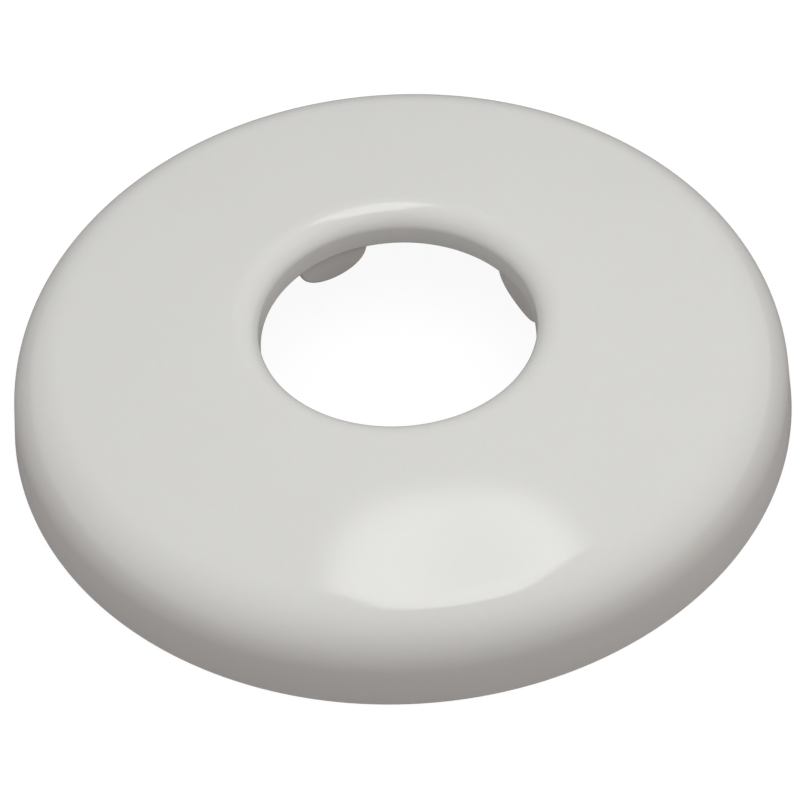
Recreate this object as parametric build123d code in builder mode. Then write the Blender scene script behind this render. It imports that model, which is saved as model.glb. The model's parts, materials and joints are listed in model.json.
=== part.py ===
"""Low-pattern pipe escutcheon: a domed ring, moulded in one piece, that covers the hole round a pipe."""

import os
from math import cos, radians, sqrt

from build123d import *

os.makedirs("parts", exist_ok=True)

# Driving dimensions, in millimetres and degrees
outer_diameter = 63.5  # across the flat rim that lies on the wall
overall_height = 10.45  # from the rim to the top of the rounded lip
pipe_diameter = 21.3  # outside of the pipe that runs through
pipe_clearance = 0.45  # between the pipe and the hole, all round
wall_thickness = 2.0  # of the shell, the same from rim to crown
side_draft = 5.3  # lean of the side wall, inwards as it rises
crown_radius = 120.0  # of the gentle dome between lip and shoulder
shoulder_radius = 5.4  # where the dome rolls over into the side wall
lip_radius = 2.15  # where the dome rolls over into the pipe hole
collar_depth = 3.15  # from the top of the lip to the collar's lower edge
collar_thickness = 2.0
hollow_corner_chamfer = 1.5  # across the inside corner behind the shoulder
collar_root_chamfer = 0.5  # across the inside corner between the collar and the crown
ear_count = 4
ear_width = 6.3
ear_drop = 2.85  # how far the ears hang below the collar
ear_inner_setback = 0.3  # from the collar's inner wall to the ear
ear_outer_setback = 0.5  # from the collar's outer wall to the ear
ear_edge_chamfer = 0.25

# Sizes that follow from them
outer_radius = outer_diameter / 2
inner_radius = outer_radius - wall_thickness / cos(radians(side_draft))
bore_radius = pipe_diameter / 2 + pipe_clearance
collar_radius = bore_radius + collar_thickness
collar_bottom = overall_height - collar_depth
ear_inner_radius = bore_radius + ear_inner_setback
ear_outer_radius = collar_radius - ear_outer_setback

# The crown is part of a sphere about the pipe's axis, set so that the lip tops out at the overall height
lip_centre_radius = bore_radius + lip_radius
lip_centre_rise = sqrt((crown_radius - lip_radius) ** 2 - lip_centre_radius**2)
crown_centre = overall_height - lip_radius - lip_centre_rise
crown_apex = crown_centre + crown_radius


def half_dome(rim_radius, sphere_radius):
    """Draw half of a dome's section and give the corner where its crown meets its drafted side."""
    with Locations((0, crown_centre)):
        Circle(sphere_radius)
    with BuildLine() as outline:
        side = PolarLine((rim_radius, 0), crown_apex, 90 + side_draft, length_mode=LengthMode.VERTICAL)
        Polyline(side @ 1, (0, crown_apex), (0, 0), side @ 0)
    make_face(outline.edges(), mode=Mode.INTERSECT)
    return vertices().sort_by(Axis.X)[-2]


# Hollow behind the crown, left clear of the collar that hangs round the pipe hole
with BuildSketch() as hollow:
    chamfer(half_dome(inner_radius, crown_radius - wall_thickness), hollow_corner_chamfer)
    with Locations((0, collar_bottom)):
        Rectangle(collar_radius, collar_depth, align=(Align.MIN, Align.MIN), mode=Mode.SUBTRACT)
    chamfer(vertices().sort_by(Axis.Y)[-1], collar_root_chamfer)

# One half-round ear on +X: its outline as seen from the pipe's axis, bent to the collar's curve
with BuildPart() as ear:
    with BuildSketch(Plane.YZ):
        with BuildLine():
            rounded_end = EllipticalCenterArc(
                (0, collar_bottom), ear_width / 2, ear_drop, start_angle=180, arc_size=180
            )
            Line(rounded_end @ 1, rounded_end @ 0)
        make_face()
    extrude(amount=ear_outer_radius)
    Cylinder(ear_outer_radius, 2 * overall_height, mode=Mode.INTERSECT)
    Cylinder(ear_inner_radius, 2 * overall_height, mode=Mode.SUBTRACT)
    ear_root = ear.faces().sort_by(Axis.Z)[-1]
    chamfer(ear.edges() - ear_root.edges(), ear_edge_chamfer)

with BuildPart() as escutcheon:
    # Moulded section, turned round the pipe's axis
    with BuildSketch(Plane.XZ) as section:
        fillet(half_dome(outer_radius, crown_radius), shoulder_radius)
        add(hollow.sketch, mode=Mode.SUBTRACT)
        Rectangle(bore_radius, crown_apex, align=(Align.MIN, Align.MIN), mode=Mode.SUBTRACT)
        fillet(section.vertices().sort_by(Axis.Y)[-1], lip_radius)
    revolve(axis=Axis.Z)

    # Ears under the collar
    with PolarLocations(0, ear_count):
        add(ear.part)

escutcheon.part.label = "escutcheon"
export_step(escutcheon.part, "parts/escutcheon.step")
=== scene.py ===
"""Low pipe escutcheon in glossy off-white plastic, built on its packed frame and set on a plain stage."""

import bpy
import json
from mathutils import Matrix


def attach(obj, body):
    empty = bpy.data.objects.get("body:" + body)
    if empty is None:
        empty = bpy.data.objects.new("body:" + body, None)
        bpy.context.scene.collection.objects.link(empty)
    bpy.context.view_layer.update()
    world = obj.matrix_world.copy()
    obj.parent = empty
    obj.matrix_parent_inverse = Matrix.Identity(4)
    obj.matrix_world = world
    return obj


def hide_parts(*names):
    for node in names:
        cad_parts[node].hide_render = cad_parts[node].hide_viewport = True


bl_info = {
    "name": "Pipe Escutcheon",
    "version": (1, 0, 0),
    "blender": (4, 5, 0),
    "location": "3D View > Sidebar > Escutcheon",
    "description": "Moulds a low pipe escutcheon with ears under its hole, and sets it on a lit table",
    "category": "Object",
}

import json
from math import acos, atan2, cos, pi, radians, sin, sqrt

import bmesh
import bpy
from bpy.props import FloatProperty, FloatVectorProperty, IntProperty, PointerProperty
from mathutils import Matrix, Vector

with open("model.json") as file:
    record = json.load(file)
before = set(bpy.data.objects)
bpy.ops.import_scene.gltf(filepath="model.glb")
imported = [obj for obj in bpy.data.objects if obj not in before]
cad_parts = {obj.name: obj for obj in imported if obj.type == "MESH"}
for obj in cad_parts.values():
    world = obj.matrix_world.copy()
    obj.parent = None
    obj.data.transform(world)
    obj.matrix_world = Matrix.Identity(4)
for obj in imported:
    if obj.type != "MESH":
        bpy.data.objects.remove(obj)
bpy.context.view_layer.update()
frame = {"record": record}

NODE = "escutcheon"
packed_across, _, packed_height = frame["record"]["size"]["bbox_m"]
pipe_bore = next(mount for mount in frame["record"]["mounts"] if mount["name"] == "pipe_bore")
hole_across = 2 * pipe_bore["dims"]["r_mm"] / 1000

# Straight steps along each arc of the section and round an ear
EDGE_STEPS = 6
SHOULDER_STEPS = 56
CROWN_STEPS = 24
LIP_STEPS = 34
ROLL_STEPS = 14
ROOT_STEPS = 8
UNDER_CROWN_STEPS = 16
UNDER_SHOULDER_STEPS = 20
EAR_STEPS = 36
EAR_EDGE_STEPS = 5

EAR_STRIPS = 24  # across an ear, so that it can bend to the collar's curve
EAR_SHARP = 1.0  # bend in radians past which an ear's edge is rounded
SAME_POINT = 1e-6  # distance in metres under which two points count as one

# Colour sockets of a Mix node, which share their names with its other sockets
MIX_FROM = 6
MIX_TO = 7
MIX_RESULT = 2

# Distances from the middle of a texture cell at which a mark is still full and at which it is gone
SPECK_REACH = (0.04, 0.1)
SCUFF_REACH = (0.04, 0.13)

# Power of the cosine that a panel of the surround fades with
WIDE_PANEL = 2
NARROW_PANEL = 8

# Softbox, with its face running from -1 to 1 each way
SOFTBOX_SQUARENESS = (3, 4, 8)  # powers for the sides, the back and the front
SOFTBOX_FADE = 0.4  # sum of those powers at which the fade begins, 1 being the edge
DIM_SPOT = (0.15, 0.5, 0)
DIM_SPOT_REACH = (0.15, 0.5)  # from its middle, where it is dimmest and where it ends
DIM_SPOT_STRENGTH = 0.75

# Lamp under the ring
HOLLOW_LAMP_INSET = 1.1  # from the ring's outside, in wall thicknesses
HOLLOW_LAMP_REACH = (1.2, 1.7)  # where its light begins and where it is full, in radii of the hole
HOLLOW_LAMP_LIFT = 0.0001  # above the table, in metres


def length(name, description, default):
    """A size in metres, shown in the scene's units."""
    return FloatProperty(name=name, description=description, default=default, min=0, precision=5,
                         subtype="DISTANCE", unit="LENGTH")


def angle(name, description, default):
    """An angle, given here in degrees."""
    return FloatProperty(name=name, description=description, default=radians(default),
                         subtype="ANGLE", unit="ROTATION")


def number(name, description, default):
    """A plain number of 0 or more: a brightness where 1 is white, or millimetres, or marks to the metre."""
    return FloatProperty(name=name, description=description, default=default, min=0)


def share(name, description, default):
    """A part of a whole, from 0 to 1."""
    return FloatProperty(name=name, description=description, default=default, min=0, max=1,
                         subtype="FACTOR")


def tint(name, description, default):
    """A colour."""
    return FloatVectorProperty(name=name, description=description, default=default, min=0, max=1,
                               subtype="COLOR")


class RingSettings(bpy.types.PropertyGroup):
    """Sizes of the turned ring."""

    outer_diameter: length("Outside Diameter", "Across the flat rim that lies on the wall", packed_across)
    height: length("Height", "From the rim to the top of the lip", packed_height)
    hole_diameter: length("Hole Diameter", "Across the foot of the hole for the pipe", hole_across)
    wall: length("Wall", "Thickness of the shell", 0.002)
    side_draft: angle("Side Draft", "Lean of the side wall, inwards as it rises", 5.3)
    crown_radius: length("Crown Radius", "Of the gentle dome between lip and shoulder", 0.12)
    shoulder_radius: length("Shoulder Radius", "Where the dome rolls over into the side wall", 0.0054)
    lip_radius: length("Lip Radius", "Where the dome rolls over into the hole", 0.00215)
    roll_radius: length("Roll Radius", "Where the lip turns down into the wall of the hole", 0.0011)
    roll_start: angle("Roll Start", "Lean of the lip, from upright, where it begins to turn down", 25)
    hole_draft: angle("Hole Draft", "Lean of the wall of the hole, outwards as it rises", 4.2)
    collar_depth: length("Collar Depth", "From the top of the lip to the collar's lower edge", 0.00315)
    collar_wall: length("Collar Wall", "Thickness of the collar's foot round the hole", 0.002)
    collar_root: length("Collar Root", "Radius of the corner between collar and crown", 0.0005)
    broken_edge: length("Broken Edge", "Radius on the rim's and the collar's corners", 0.00015)
    crease: angle("Crease", "Bend past which an edge is shaded sharp", 35)
    steps_round: IntProperty(name="Steps Round", description="Facets round the ring", default=256, min=16)


class EarSettings(bpy.types.PropertyGroup):
    """Sizes of the half-round ears under the collar."""

    count: IntProperty(name="Ears", description="Number of ears, evenly spaced", default=4, min=1)
    width: length("Width", "Of an ear where it leaves the collar", 0.0063)
    drop: length("Drop", "How far an ear hangs below the collar", 0.00285)
    inner_setback: length("Inner Setback", "From the collar's inner wall to the ear", 0.0003)
    outer_setback: length("Outer Setback", "From the collar's outer wall to the ear", 0.0005)
    edge_radius: length("Edge Radius", "Rounding of the ear's edges", 0.00025)
    sunk: length("Sunk Root", "How far the ear reaches up into the collar", 0.0005)


class PlasticSettings(bpy.types.PropertyGroup):
    """Finish of the moulded plastic."""

    colour: tint("Colour", "Of the clean plastic", (0.622, 0.624, 0.608))
    warm_colour: tint("Warm Colour", "Of its faintly yellowed patches", (0.612, 0.606, 0.583))
    patch_scale: number("Patch Scale", "Warm patches to the metre", 90)
    speck_colour: tint("Speck Colour", "Of the fine specks in it", (0.585, 0.578, 0.558))
    speck_scale: number("Speck Scale", "Texture cells to the metre that can hold a speck", 1100)
    speck_limit: share("Speck Limit", "Random value that a cell has to pass to hold a speck", 0.6)
    scuff_colour: tint("Scuff Colour", "Of the tiny pale rub marks on it", (0.636, 0.636, 0.621))
    scuff_scale: number("Scuff Scale", "Rub marks to the metre, across their direction", 1200)
    scuff_stretch: share("Scuff Stretch", "Their scale along their direction, against the one across", 0.3)
    scuff_haze: share("Scuff Haze", "Roughness added on a rub mark", 0.1)
    rub_direction: angle("Rub Direction", "Of the rub marks, from X", 63.5)
    polish: share("Roughness", "Of the polished surface, at its clearest", 0.07)
    haze: share("Haze", "Roughness added where the polish is dull", 0.04)
    haze_scale: number("Haze Scale", "Dull places to the metre", 260)
    ripple: length("Ripple", "Height of the faint moulding ripple", 0.000001)
    ripple_scale: number("Ripple Scale", "Ripples to the metre", 700)
    refraction: number("Refraction", "Index of refraction of the plastic", 1.5)
    milkiness: share("Milkiness", "Part of the light that goes in and comes out near by", 0.3)
    milk_depth: length("Milk Depth", "How far red light spreads in the plastic", 0.0012)
    milk_spread: tint("Milk Spread", "How far each colour of light spreads, against red", (1.0, 0.55, 0.35))


class StageSettings(bpy.types.PropertyGroup):
    """The lit table, the lamps and the camera."""

    camera_azimuth: angle("Camera Azimuth", "Round the ring, from -Y", -26.5)
    camera_elevation: angle("Camera Elevation", "Above the table", 46.93)
    camera_roll: angle("Camera Roll", "Lean of the picture", -3.41)
    camera_distance: length("Camera Distance", "From the middle of the rim", 0.34)
    lens: number("Lens", "Focal length in millimetres", 187)
    sensor: number("Sensor", "Width of the sensor in millimetres", 36)
    shift_across: FloatProperty(name="Shift Across", description="Of the lens, in widths of the picture",
                                default=-0.0028, precision=4)
    shift_up: FloatProperty(name="Shift Up", description="Of the lens, in widths of the picture",
                            default=0.0029, precision=4)
    near_clip: length("Near Clip", "Nearest distance that the camera shows", 0.01)
    table_size: length("Table Size", "Along each side", 4.0)
    table_glow: number("Table Glow", "Brightness that the eye sees of the table in full shadow", 0.92)
    table_shade: share("Table Shade", "Part of the light on the table that the eye sees besides", 0.1)
    table_colour: tint("Table Colour", "Of the light that the table throws back", (0.12, 0.085, 0.08))
    softbox_height: length("Softbox Height", "Above the table", 0.6)
    softbox_right: length("Softbox Right", "From the ring's axis, to the camera's right", 0.053)
    softbox_back: length("Softbox Back", "From the ring's axis, away from the camera", 0.031)
    softbox_width: length("Softbox Width", "Across the camera's view", 0.283)
    softbox_depth: length("Softbox Depth", "Along the camera's view", 0.466)
    softbox_turn: angle("Softbox Turn", "To the left, seen from above", 5)
    softbox_level: number("Softbox Level", "Brightness of its face", 2.95)
    hollow_level: number("Hollow Level", "Brightness of the lamp under the ring", 0.39)
    tent_level: number("Tent Level", "Light from all round, above the table", 0.26)
    overhead_level: number("Overhead Panel", "Light from above", 0.55)
    left_level: number("Left Panel", "Light from the camera's left", 0.66)
    right_level: number("Right Panel", "Light from the camera's right", 0.9)
    front_left_level: number("Front Left Panel", "Light from above the camera's left shoulder", 0.34)
    front_right_level: number("Front Right Panel", "Light from above the camera's right shoulder", 0.59)
    cool_light: tint("Cool Light", "Of the softbox", (0.975, 1.0, 1.0))
    warm_light: tint("Warm Light", "Of the front panels and of the lamp under the ring", (1.0, 0.94, 0.905))
    mirror_share: share("Mirror Share", "Part of the white backdrop that shows in reflections", 0.22)


def add_node(tree, kind, inputs=(), **settings):
    """Add one node, set its options, then fill or link its inputs, given by name or by place."""
    node = tree.nodes.new(kind)
    for name, value in settings.items():
        setattr(node, name, value)
    for name, value in dict(inputs).items():
        if isinstance(value, bpy.types.NodeSocket):
            tree.links.new(value, node.inputs[name])
        else:
            node.inputs[name].default_value = value
    return node


def maths(tree, operation, *values):
    """Result of one sum on numbers, plain or from other nodes."""
    return add_node(tree, "ShaderNodeMath", enumerate(values), operation=operation).outputs[0]


def vector_maths(tree, operation, *values, result="Vector"):
    """Result of one sum on vectors, plain or from other nodes."""
    node = add_node(tree, "ShaderNodeVectorMath", enumerate(values), operation=operation)
    return node.outputs[result]


def ramp(tree, value, reach, first, last, curve="LINEAR"):
    """Result that goes from first to last while a value goes through its reach, and stays there."""
    inputs = {"Value": value, "From Min": reach[0], "From Max": reach[1], "To Min": first, "To Max": last}
    return add_node(tree, "ShaderNodeMapRange", inputs, interpolation_type=curve).outputs[0]


def mix_colour(tree, factor, first, second):
    """Result of blending one colour, plain or from another node, with a plain second one."""
    first = first if isinstance(first, bpy.types.NodeSocket) else (*first, 1)
    inputs = {"Factor": factor, MIX_FROM: first, MIX_TO: (*second, 1)}
    return add_node(tree, "ShaderNodeMix", inputs, data_type="RGBA").outputs[MIX_RESULT]


def around(centre, radius, turn):
    """Point of the section at that distance and turn from a centre."""
    return centre[0] + radius * cos(turn), centre[1] + radius * sin(turn)


def arc(centre, radius, first, last, steps):
    """Points along an arc of the section, both ends included."""
    return [around(centre, radius, first + (last - first) * step / steps) for step in range(steps + 1)]


def moulded_section(ring):
    """Closed outline of the wall, each point as its distance from the axis and its height.

    It runs up the side, over the crown, down the hole and back underneath.
    """
    draft = ring.side_draft
    edge = ring.broken_edge
    side_reach = ring.outer_diameter / 2 * cos(draft)
    hole = ring.hole_diameter / 2
    collar = hole + ring.collar_wall
    collar_bottom = ring.height - ring.collar_depth

    lip_centre = (hole + ring.lip_radius, ring.height - ring.lip_radius)
    crown_drop = sqrt((ring.crown_radius - ring.lip_radius) ** 2 - lip_centre[0] ** 2)
    crown_centre = (0, lip_centre[1] - crown_drop)
    lip_start = atan2(crown_drop, lip_centre[0])
    roll_start = pi - ring.roll_start
    roll_end = pi - ring.hole_draft
    roll_centre = around(lip_centre, ring.lip_radius - ring.roll_radius, roll_start)

    shoulder_reach = ring.crown_radius - ring.shoulder_radius
    to_side = side_reach - ring.shoulder_radius - crown_centre[1] * sin(draft)
    crown_start = draft + acos(to_side / shoulder_reach)
    shoulder_centre = around(crown_centre, shoulder_reach, crown_start)

    under_radius = ring.crown_radius - ring.wall
    under_shoulder = ring.shoulder_radius - ring.wall
    root_across = collar + ring.collar_root
    root_rise = sqrt((under_radius - ring.collar_root) ** 2 - root_across**2)
    root_centre = (root_across, crown_centre[1] + root_rise)
    root_end = atan2(root_rise, root_across)

    rim_outside = ((side_reach - edge - edge * sin(draft)) / cos(draft), edge)
    rim_inside = ((side_reach - ring.wall + edge - edge * sin(draft)) / cos(draft), edge)
    collar_inside = (hole + edge, collar_bottom + edge)
    collar_outside = (collar - edge, collar_bottom + edge)
    runs = (
        arc(rim_outside, edge, -pi / 2, draft, EDGE_STEPS),
        arc(shoulder_centre, ring.shoulder_radius, draft, crown_start, SHOULDER_STEPS),
        arc(crown_centre, ring.crown_radius, crown_start, lip_start, CROWN_STEPS),
        arc(lip_centre, ring.lip_radius, lip_start, roll_start, LIP_STEPS),
        arc(roll_centre, ring.roll_radius, roll_start, roll_end, ROLL_STEPS),
        arc(collar_inside, edge, roll_end, 1.5 * pi, EDGE_STEPS),
        arc(collar_outside, edge, -pi / 2, 0, EDGE_STEPS),
        arc(root_centre, ring.collar_root, pi, root_end, ROOT_STEPS),
        arc(crown_centre, under_radius, root_end, crown_start, UNDER_CROWN_STEPS),
        arc(shoulder_centre, under_shoulder, crown_start, draft, UNDER_SHOULDER_STEPS),
        arc(rim_inside, edge, pi + draft, 1.5 * pi, EDGE_STEPS),
    )
    outline = []
    for run in runs:
        for point in run:
            if not outline or (Vector(point) - Vector(outline[-1])).length > SAME_POINT:
                outline.append(point)
    return outline


def section_mesh(ring):
    """The outline as a loop of edges in the XY plane, drawn from the foot of the hole's wall."""
    hole = ring.hole_diameter / 2
    outline = [(reach - hole, -rise, 0) for reach, rise in reversed(moulded_section(ring))]
    loop = [(place, (place + 1) % len(outline)) for place in range(len(outline))]
    mesh = bpy.data.meshes.new("escutcheon_section")
    mesh.from_pydata(outline, loop, [])
    return mesh


def ear_mesh(ring, ear):
    """One ear on +X, half-round below the collar and bent to its curve, with its root inside the collar."""
    root = ring.height - ring.collar_depth
    inside = ring.hole_diameter / 2 + ear.inner_setback
    outside = ring.hole_diameter / 2 + ring.collar_wall - ear.outer_setback
    outline = arc((0, 0), 1, -pi, 0, EAR_STEPS)
    outline = [(ear.width / 2 * turn, root + ear.drop * dip) for turn, dip in outline]
    outline = [(outline[0][0], root + ear.sunk), *outline, (outline[-1][0], root + ear.sunk)]

    blank = bmesh.new()
    front = [blank.verts.new((inside, side, rise)) for side, rise in outline]
    back = [blank.verts.new((outside, side, rise)) for side, rise in outline]
    blank.faces.new(front)
    blank.faces.new(back[::-1])
    for place in range(len(outline)):
        after = (place + 1) % len(outline)
        blank.faces.new((front[after], front[place], back[place], back[after]))
    bmesh.ops.recalc_face_normals(blank, faces=blank.faces)

    # The edges of the root stay sharp, because they end up inside the collar
    sharp = [edge for edge in blank.edges if edge.calc_face_angle() > EAR_SHARP]
    sharp = [edge for edge in sharp if min(end.co.z for end in edge.verts) < root + ear.sunk / 2]
    bmesh.ops.bevel(blank, geom=sharp, offset=ear.edge_radius, segments=EAR_EDGE_STEPS, profile=0.5,
                    affect="EDGES")
    for cut in range(1, EAR_STRIPS):
        blank.verts.ensure_lookup_table()
        side = ear.width * (cut / EAR_STRIPS - 0.5)
        parts = [*blank.verts, *blank.edges, *blank.faces]
        bmesh.ops.bisect_plane(blank, geom=parts, dist=SAME_POINT, plane_co=(0, side, 0), plane_no=(0, 1, 0))
    for corner in blank.verts:
        corner.co.x = sqrt(corner.co.x**2 - corner.co.y**2)

    mesh = bpy.data.meshes.new("escutcheon_ear")
    blank.to_mesh(mesh)
    blank.free()
    return mesh


def moulding_tree():
    """Node tree that turns the section round the pipe's axis and joins the ears to it."""
    tree = bpy.data.node_groups.new("Escutcheon Moulding", "GeometryNodeTree")
    sockets = (
        ("Section", "NodeSocketGeometry"),
        ("Hole Radius", "NodeSocketFloat"),
        ("Steps Round", "NodeSocketInt"),
        ("Ear", "NodeSocketObject"),
        ("Ear Count", "NodeSocketInt"),
        ("Crease Angle", "NodeSocketFloat"),
        ("Plastic", "NodeSocketMaterial"),
    )
    for name, kind in sockets:
        tree.interface.new_socket(name=name, in_out="INPUT", socket_type=kind)
    tree.interface.new_socket(name="Moulding", in_out="OUTPUT", socket_type="NodeSocketGeometry")
    given = add_node(tree, "NodeGroupInput").outputs

    section = add_node(tree, "GeometryNodeMeshToCurve", {"Mesh": given["Section"]})
    path = add_node(tree, "GeometryNodeCurvePrimitiveCircle",
                    {"Resolution": given["Steps Round"], "Radius": given["Hole Radius"]})
    turned = add_node(tree, "GeometryNodeCurveToMesh",
                      {"Curve": path.outputs["Curve"], "Profile Curve": section.outputs["Curve"]})

    spacing = maths(tree, "DIVIDE", 2 * pi, given["Ear Count"])
    index = add_node(tree, "GeometryNodeInputIndex").outputs[0]
    turn = maths(tree, "MULTIPLY", index, spacing)
    facing = add_node(tree, "FunctionNodeAxisAngleToRotation", {"Axis": (0, 0, 1), "Angle": turn})
    points = add_node(tree, "GeometryNodePoints", {"Count": given["Ear Count"]})
    ear = add_node(tree, "GeometryNodeObjectInfo", {"Object": given["Ear"]})
    ears = add_node(tree, "GeometryNodeInstanceOnPoints", {
        "Points": points.outputs[0], "Instance": ear.outputs["Geometry"], "Rotation": facing.outputs[0]})
    loose_ears = add_node(tree, "GeometryNodeRealizeInstances", {"Geometry": ears.outputs[0]})

    joined = add_node(tree, "GeometryNodeMeshBoolean", {"Mesh 2": turned.outputs["Mesh"]},
                      operation="UNION", solver="MANIFOLD")
    tree.links.new(loose_ears.outputs[0], joined.inputs["Mesh 2"])
    smooth = add_node(tree, "GeometryNodeSetShadeSmooth", {"Geometry": joined.outputs["Mesh"]})
    bend = add_node(tree, "GeometryNodeInputMeshEdgeAngle")
    crease = add_node(tree, "FunctionNodeCompare", {"A": bend.outputs[0], "B": given["Crease Angle"]},
                      operation="GREATER_THAN")
    creased = add_node(tree, "GeometryNodeSetShadeSmooth", {
        "Geometry": smooth.outputs[0], "Selection": crease.outputs[0], "Shade Smooth": False}, domain="EDGE")
    realized = add_node(tree, "GeometryNodeRealizeInstances", {"Geometry": creased.outputs[0]})
    finished = add_node(tree, "GeometryNodeSetMaterial",
                        {"Geometry": realized.outputs[0], "Material": given["Plastic"]})
    add_node(tree, "NodeGroupOutput", {"Moulding": finished.outputs[0]})
    return tree


def plastic_material(plastic):
    """Polished off-white plastic with warm patches, fine specks, tiny rub marks and a moulding ripple."""
    material = bpy.data.materials.new("polished_off_white_plastic")
    material.use_nodes = True
    tree = material.node_tree
    tree.nodes.clear()
    place = add_node(tree, "ShaderNodeTexCoord").outputs["Object"]

    patches = add_node(tree, "ShaderNodeTexNoise", {
        "Vector": place, "Scale": plastic.patch_scale, "Detail": 3})
    clean = mix_colour(tree, patches.outputs["Fac"], plastic.colour, plastic.warm_colour)
    cells = add_node(tree, "ShaderNodeTexVoronoi", {"Vector": place, "Scale": plastic.speck_scale})
    chosen = maths(tree, "GREATER_THAN", cells.outputs["Color"], plastic.speck_limit)
    near = ramp(tree, cells.outputs["Distance"], SPECK_REACH, 1, 0)
    speck = maths(tree, "MULTIPLY", chosen, near)
    specked = mix_colour(tree, speck, clean, plastic.speck_colour)

    along = add_node(tree, "ShaderNodeMapping", {
        "Vector": place, "Rotation": (0, 0, -plastic.rub_direction), "Scale": (plastic.scuff_stretch, 1, 1)})
    marks = add_node(tree, "ShaderNodeTexVoronoi", {
        "Vector": along.outputs[0], "Scale": plastic.scuff_scale})
    scuff = ramp(tree, marks.outputs["Distance"], SCUFF_REACH, 1, 0)
    scuffed = mix_colour(tree, scuff, specked, plastic.scuff_colour)

    dull = add_node(tree, "ShaderNodeTexNoise", {
        "Vector": place, "Scale": plastic.haze_scale, "Detail": 4})
    hazy = ramp(tree, dull.outputs["Fac"], (0, 1), plastic.polish, plastic.polish + plastic.haze)
    rough = maths(tree, "MULTIPLY_ADD", scuff, plastic.scuff_haze, hazy)
    ripple = add_node(tree, "ShaderNodeTexNoise", {
        "Vector": place, "Scale": plastic.ripple_scale, "Detail": 2})
    bump = add_node(tree, "ShaderNodeBump", {
        "Height": ripple.outputs["Fac"], "Distance": plastic.ripple, "Strength": 1})
    shader = add_node(tree, "ShaderNodeBsdfPrincipled", {
        "Base Color": scuffed, "Roughness": rough, "Normal": bump.outputs[0], "IOR": plastic.refraction,
        "Subsurface Weight": plastic.milkiness, "Subsurface Scale": plastic.milk_depth,
        "Subsurface Radius": plastic.milk_spread})
    add_node(tree, "ShaderNodeOutputMaterial", {"Surface": shader.outputs[0]})
    return material


class ESCUTCHEON_OT_mould(bpy.types.Operator):
    """Mould the ring with its collar and ears in one piece"""

    bl_idname = "escutcheon.mould"
    bl_label = "Mould Escutcheon"

    def execute(self, context):
        ring = context.scene.escutcheon_ring
        ears = context.scene.escutcheon_ears
        blank = bpy.data.objects.new("escutcheon_section", section_mesh(ring))
        ear = bpy.data.objects.new("escutcheon_ear", ear_mesh(ring, ears))
        context.scene.collection.objects.link(blank)

        tree = moulding_tree()
        values = {
            "Hole Radius": ring.hole_diameter / 2,
            "Steps Round": ring.steps_round,
            "Ear": ear,
            "Ear Count": ears.count,
            "Crease Angle": ring.crease,
            "Plastic": plastic_material(context.scene.escutcheon_plastic),
        }
        modifier = blank.modifiers.new("Moulding", "NODES")
        modifier.node_group = tree
        for socket in tree.interface.items_tree:
            if socket.name in values:
                modifier[socket.identifier] = values[socket.name]

        evaluated = blank.evaluated_get(context.evaluated_depsgraph_get())
        mesh = bpy.data.meshes.new_from_object(evaluated)
        mesh.name = "escutcheon_moulding"
        piece = bpy.data.objects.new("escutcheon_moulding", mesh)
        context.scene.collection.objects.link(piece)
        for scaffold in (blank, ear):
            bpy.data.objects.remove(scaffold)
        if not mesh.polygons:
            raise RuntimeError("the moulding came out empty")

        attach(piece, "root")
        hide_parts(NODE)
        return {"FINISHED"}


def backdrop_share(tree, stage):
    """How much a ray sees of the white backdrop: all from the eye, a share off a glossy or clear surface."""
    path = add_node(tree, "ShaderNodeLightPath").outputs
    bounced = maths(tree, "MAXIMUM", path["Is Glossy Ray"], path["Is Transmission Ray"])
    mirrored = maths(tree, "MULTIPLY", bounced, stage.mirror_share)
    return maths(tree, "MAXIMUM", path["Is Camera Ray"], mirrored)


def table_material(stage):
    """Pale table, white to the eye but for the object's shadow, dim to other light, clear from below."""
    material = bpy.data.materials.new("pale_table")
    material.use_nodes = True
    tree = material.node_tree
    tree.nodes.clear()
    white = add_node(tree, "ShaderNodeEmission", {"Color": (1, 1, 1, 1), "Strength": stage.table_glow})
    shaded = add_node(tree, "ShaderNodeBsdfDiffuse", {"Color": (*[stage.table_shade] * 3, 1)})
    shown = add_node(tree, "ShaderNodeAddShader", {0: white.outputs[0], 1: shaded.outputs[0]})
    thrown = add_node(tree, "ShaderNodeBsdfDiffuse", {"Color": (*stage.table_colour, 1)})
    top = add_node(tree, "ShaderNodeMixShader",
                   {0: backdrop_share(tree, stage), 1: thrown.outputs[0], 2: shown.outputs[0]})
    side = add_node(tree, "ShaderNodeNewGeometry")
    clear = add_node(tree, "ShaderNodeBsdfTransparent")
    both = add_node(tree, "ShaderNodeMixShader",
                    {0: side.outputs["Backfacing"], 1: top.outputs[0], 2: clear.outputs[0]})
    add_node(tree, "ShaderNodeOutputMaterial", {"Surface": both.outputs[0]})
    return material


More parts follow.
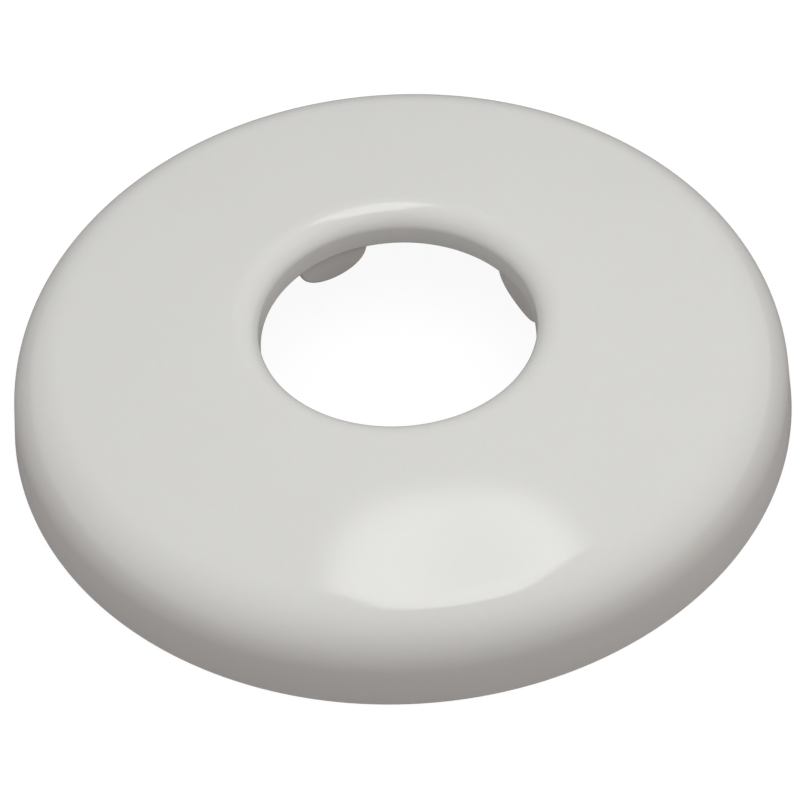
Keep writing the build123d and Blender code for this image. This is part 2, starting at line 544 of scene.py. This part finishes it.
def surround(stage, towards, right, up):
    """White backdrop to the eye, and to the object a dim tent with soft lit panels above and around it."""
    world = bpy.data.worlds.new("tent")
    world.use_nodes = True
    tree = world.node_tree
    tree.nodes.clear()
    plain = Vector((1, 1, 1))
    warm = Vector(stage.warm_light)
    panels = (
        (up, WIDE_PANEL, stage.overhead_level * plain),
        (right, WIDE_PANEL, stage.right_level * plain),
        (-right, WIDE_PANEL, stage.left_level * plain),
        (towards + right + sqrt(2) * up, NARROW_PANEL, stage.front_right_level * warm),
        (towards - right + sqrt(2) * up, NARROW_PANEL, stage.front_left_level * warm),
    )
    direction = add_node(tree, "ShaderNodeTexCoord").outputs["Generated"]
    total = stage.tent_level * plain
    for middle, sharpness, colour in panels:
        facing = vector_maths(tree, "DOT_PRODUCT", direction, middle.normalized(), result="Value")
        ahead = maths(tree, "MAXIMUM", facing, 0)
        soft = maths(tree, "POWER", ahead, sharpness)
        lit = vector_maths(tree, "MULTIPLY", colour, soft)
        total = vector_maths(tree, "ADD", lit, total)
    tent = add_node(tree, "ShaderNodeBackground", {"Color": total, "Strength": 1})
    white = add_node(tree, "ShaderNodeBackground", {"Color": (1, 1, 1, 1), "Strength": 1})
    mixed = add_node(tree, "ShaderNodeMixShader",
                     {0: backdrop_share(tree, stage), 1: tent.outputs[0], 2: white.outputs[0]})
    add_node(tree, "ShaderNodeOutputWorld", {"Surface": mixed.outputs[0]})
    return world


def area_lamp(name, width, depth, brightness):
    """Area lamp of that brightness, with its node tree and the place on its face, from -1 to 1 each way."""
    lamp = bpy.data.lights.new(name, "AREA")
    lamp.shape = "RECTANGLE"
    lamp.size = width
    lamp.size_y = depth
    lamp.energy = brightness * pi * width * depth
    lamp.use_nodes = True
    tree = lamp.node_tree
    tree.nodes.clear()
    face = add_node(tree, "ShaderNodeNewGeometry").outputs["Parametric"]
    place = vector_maths(tree, "MULTIPLY_ADD", face, (2, 2, 0), (-1, -1, 0))
    return lamp, tree, place


def light_up(tree, strength):
    """End a lamp's node tree in plain white light of that strength."""
    glow = add_node(tree, "ShaderNodeEmission", {"Color": (1, 1, 1, 1), "Strength": strength})
    add_node(tree, "ShaderNodeOutputLight", {"Surface": glow.outputs[0]})


def softbox_lamp(stage):
    """Overhead lamp, rounder at the back than in front, that fades out at its edge and has a dim spot."""
    lamp, tree, place = area_lamp("softbox", stage.softbox_width, stage.softbox_depth, stage.softbox_level)
    split = add_node(tree, "ShaderNodeSeparateXYZ", {"Vector": place}).outputs
    aside = maths(tree, "ABSOLUTE", split["X"])
    behind = maths(tree, "MAXIMUM", split["Y"], 0)
    ahead = maths(tree, "SUBTRACT", behind, split["Y"])
    reach = add_node(tree, "ShaderNodeCombineXYZ", {"X": aside, "Y": behind, "Z": ahead})
    bulge = vector_maths(tree, "POWER", reach.outputs[0], SOFTBOX_SQUARENESS)
    rounded = vector_maths(tree, "DOT_PRODUCT", bulge, (1, 1, 1), result="Value")
    fade = ramp(tree, rounded, (SOFTBOX_FADE, 1), 1, 0, "SMOOTHSTEP")
    spot = vector_maths(tree, "DISTANCE", place, DIM_SPOT, result="Value")
    dimmed = ramp(tree, spot, DIM_SPOT_REACH, DIM_SPOT_STRENGTH, 1, "SMOOTHSTEP")
    light_up(tree, maths(tree, "MULTIPLY", fade, dimmed))
    lamp.color = stage.cool_light
    return lamp


def hollow_lamp(stage, ring):
    """Round lamp that lies under the ring and shows its hollow from below, dark under the pipe hole."""
    width = ring.outer_diameter - 2 * HOLLOW_LAMP_INSET * ring.wall
    lamp, tree, place = area_lamp("hollow_lamp", width, width, stage.hollow_level)
    reach = vector_maths(tree, "LENGTH", place, result="Value")
    hole = ring.hole_diameter / width
    shade = ramp(tree, reach, [radii * hole for radii in HOLLOW_LAMP_REACH], 0, 1)
    inside = maths(tree, "LESS_THAN", reach, 1)
    light_up(tree, maths(tree, "MULTIPLY", shade, inside))
    lamp.color = stage.warm_light
    return lamp


class ESCUTCHEON_OT_stage(bpy.types.Operator):
    """Set up the lit table, the lamps, the surround and the camera"""

    bl_idname = "escutcheon.stage"
    bl_label = "Set Stage"

    def execute(self, context):
        scene = context.scene
        stage = scene.escutcheon_stage
        half = stage.table_size / 2
        corners = [(-half, -half, 0), (half, -half, 0), (half, half, 0), (-half, half, 0)]
        mesh = bpy.data.meshes.new("table")
        mesh.from_pydata(corners, [], [(0, 1, 2, 3)])
        mesh.materials.append(table_material(stage))
        table = bpy.data.objects.new("table", mesh)
        scene.collection.objects.link(table)

        azimuth = stage.camera_azimuth
        towards = Vector((sin(azimuth), -cos(azimuth), 0))
        right = Vector((cos(azimuth), sin(azimuth), 0))
        up = Vector((0, 0, 1))

        above = right * stage.softbox_right - towards * stage.softbox_back + up * stage.softbox_height
        facing_down = Matrix((right, -towards, up)).transposed().to_4x4()
        turned = Matrix.Rotation(stage.softbox_turn, 4, "Z") @ facing_down
        facing_up = Matrix.Rotation(pi, 4, "X")
        ring = scene.escutcheon_ring
        lamps = (
            (softbox_lamp(stage), Matrix.Translation(above) @ turned),
            (hollow_lamp(stage, ring), Matrix.Translation(up * HOLLOW_LAMP_LIFT) @ facing_up),
        )
        for lamp, placed in lamps:
            stand = bpy.data.objects.new(lamp.name, lamp)
            stand.matrix_world = placed
            stand.visible_camera = False
            scene.collection.objects.link(stand)
        scene.world = surround(stage, towards, right, up)

        lens = bpy.data.cameras.new("camera")
        lens.lens = stage.lens
        lens.sensor_width = stage.sensor
        lens.shift_x = stage.shift_across
        lens.shift_y = stage.shift_up
        lens.clip_start = stage.near_clip
        camera = bpy.data.objects.new("camera", lens)
        outward = towards * cos(stage.camera_elevation) + up * sin(stage.camera_elevation)
        upright = outward.cross(right)
        leaned_right = right * cos(stage.camera_roll) + upright * sin(stage.camera_roll)
        leaned_up = outward.cross(leaned_right)
        axes = Matrix((leaned_right, leaned_up, outward)).transposed()
        camera.matrix_world = Matrix.Translation(outward * stage.camera_distance) @ axes.to_4x4()
        scene.collection.objects.link(camera)
        scene.camera = camera
        scene.view_settings.view_transform = "Standard"
        return {"FINISHED"}


class ESCUTCHEON_PT_panel(bpy.types.Panel):
    """The escutcheon's steps and sizes"""

    bl_idname = "ESCUTCHEON_PT_panel"
    bl_label = "Pipe Escutcheon"
    bl_space_type = "VIEW_3D"
    bl_region_type = "UI"
    bl_category = "Escutcheon"

    def draw(self, context):
        for operator in OPERATORS:
            self.layout.operator(operator.bl_idname)
        for place, settings in SETTINGS.items():
            column = self.layout.column(heading=settings.__doc__)
            for name in settings.__annotations__:
                column.prop(getattr(context.scene, place), name)


OPERATORS = (ESCUTCHEON_OT_mould, ESCUTCHEON_OT_stage)
SETTINGS = {
    "escutcheon_ring": RingSettings,
    "escutcheon_ears": EarSettings,
    "escutcheon_plastic": PlasticSettings,
    "escutcheon_stage": StageSettings,
}


def register():
    for kind in (*SETTINGS.values(), *OPERATORS, ESCUTCHEON_PT_panel):
        bpy.utils.register_class(kind)
    for place, settings in SETTINGS.items():
        setattr(bpy.types.Scene, place, PointerProperty(type=settings))


def unregister():
    for place in SETTINGS:
        delattr(bpy.types.Scene, place)
    for kind in reversed((*SETTINGS.values(), *OPERATORS, ESCUTCHEON_PT_panel)):
        bpy.utils.unregister_class(kind)


def main():
    register()
    bpy.ops.escutcheon.mould()
    bpy.ops.escutcheon.stage()


if __name__ == "__main__":
    main()
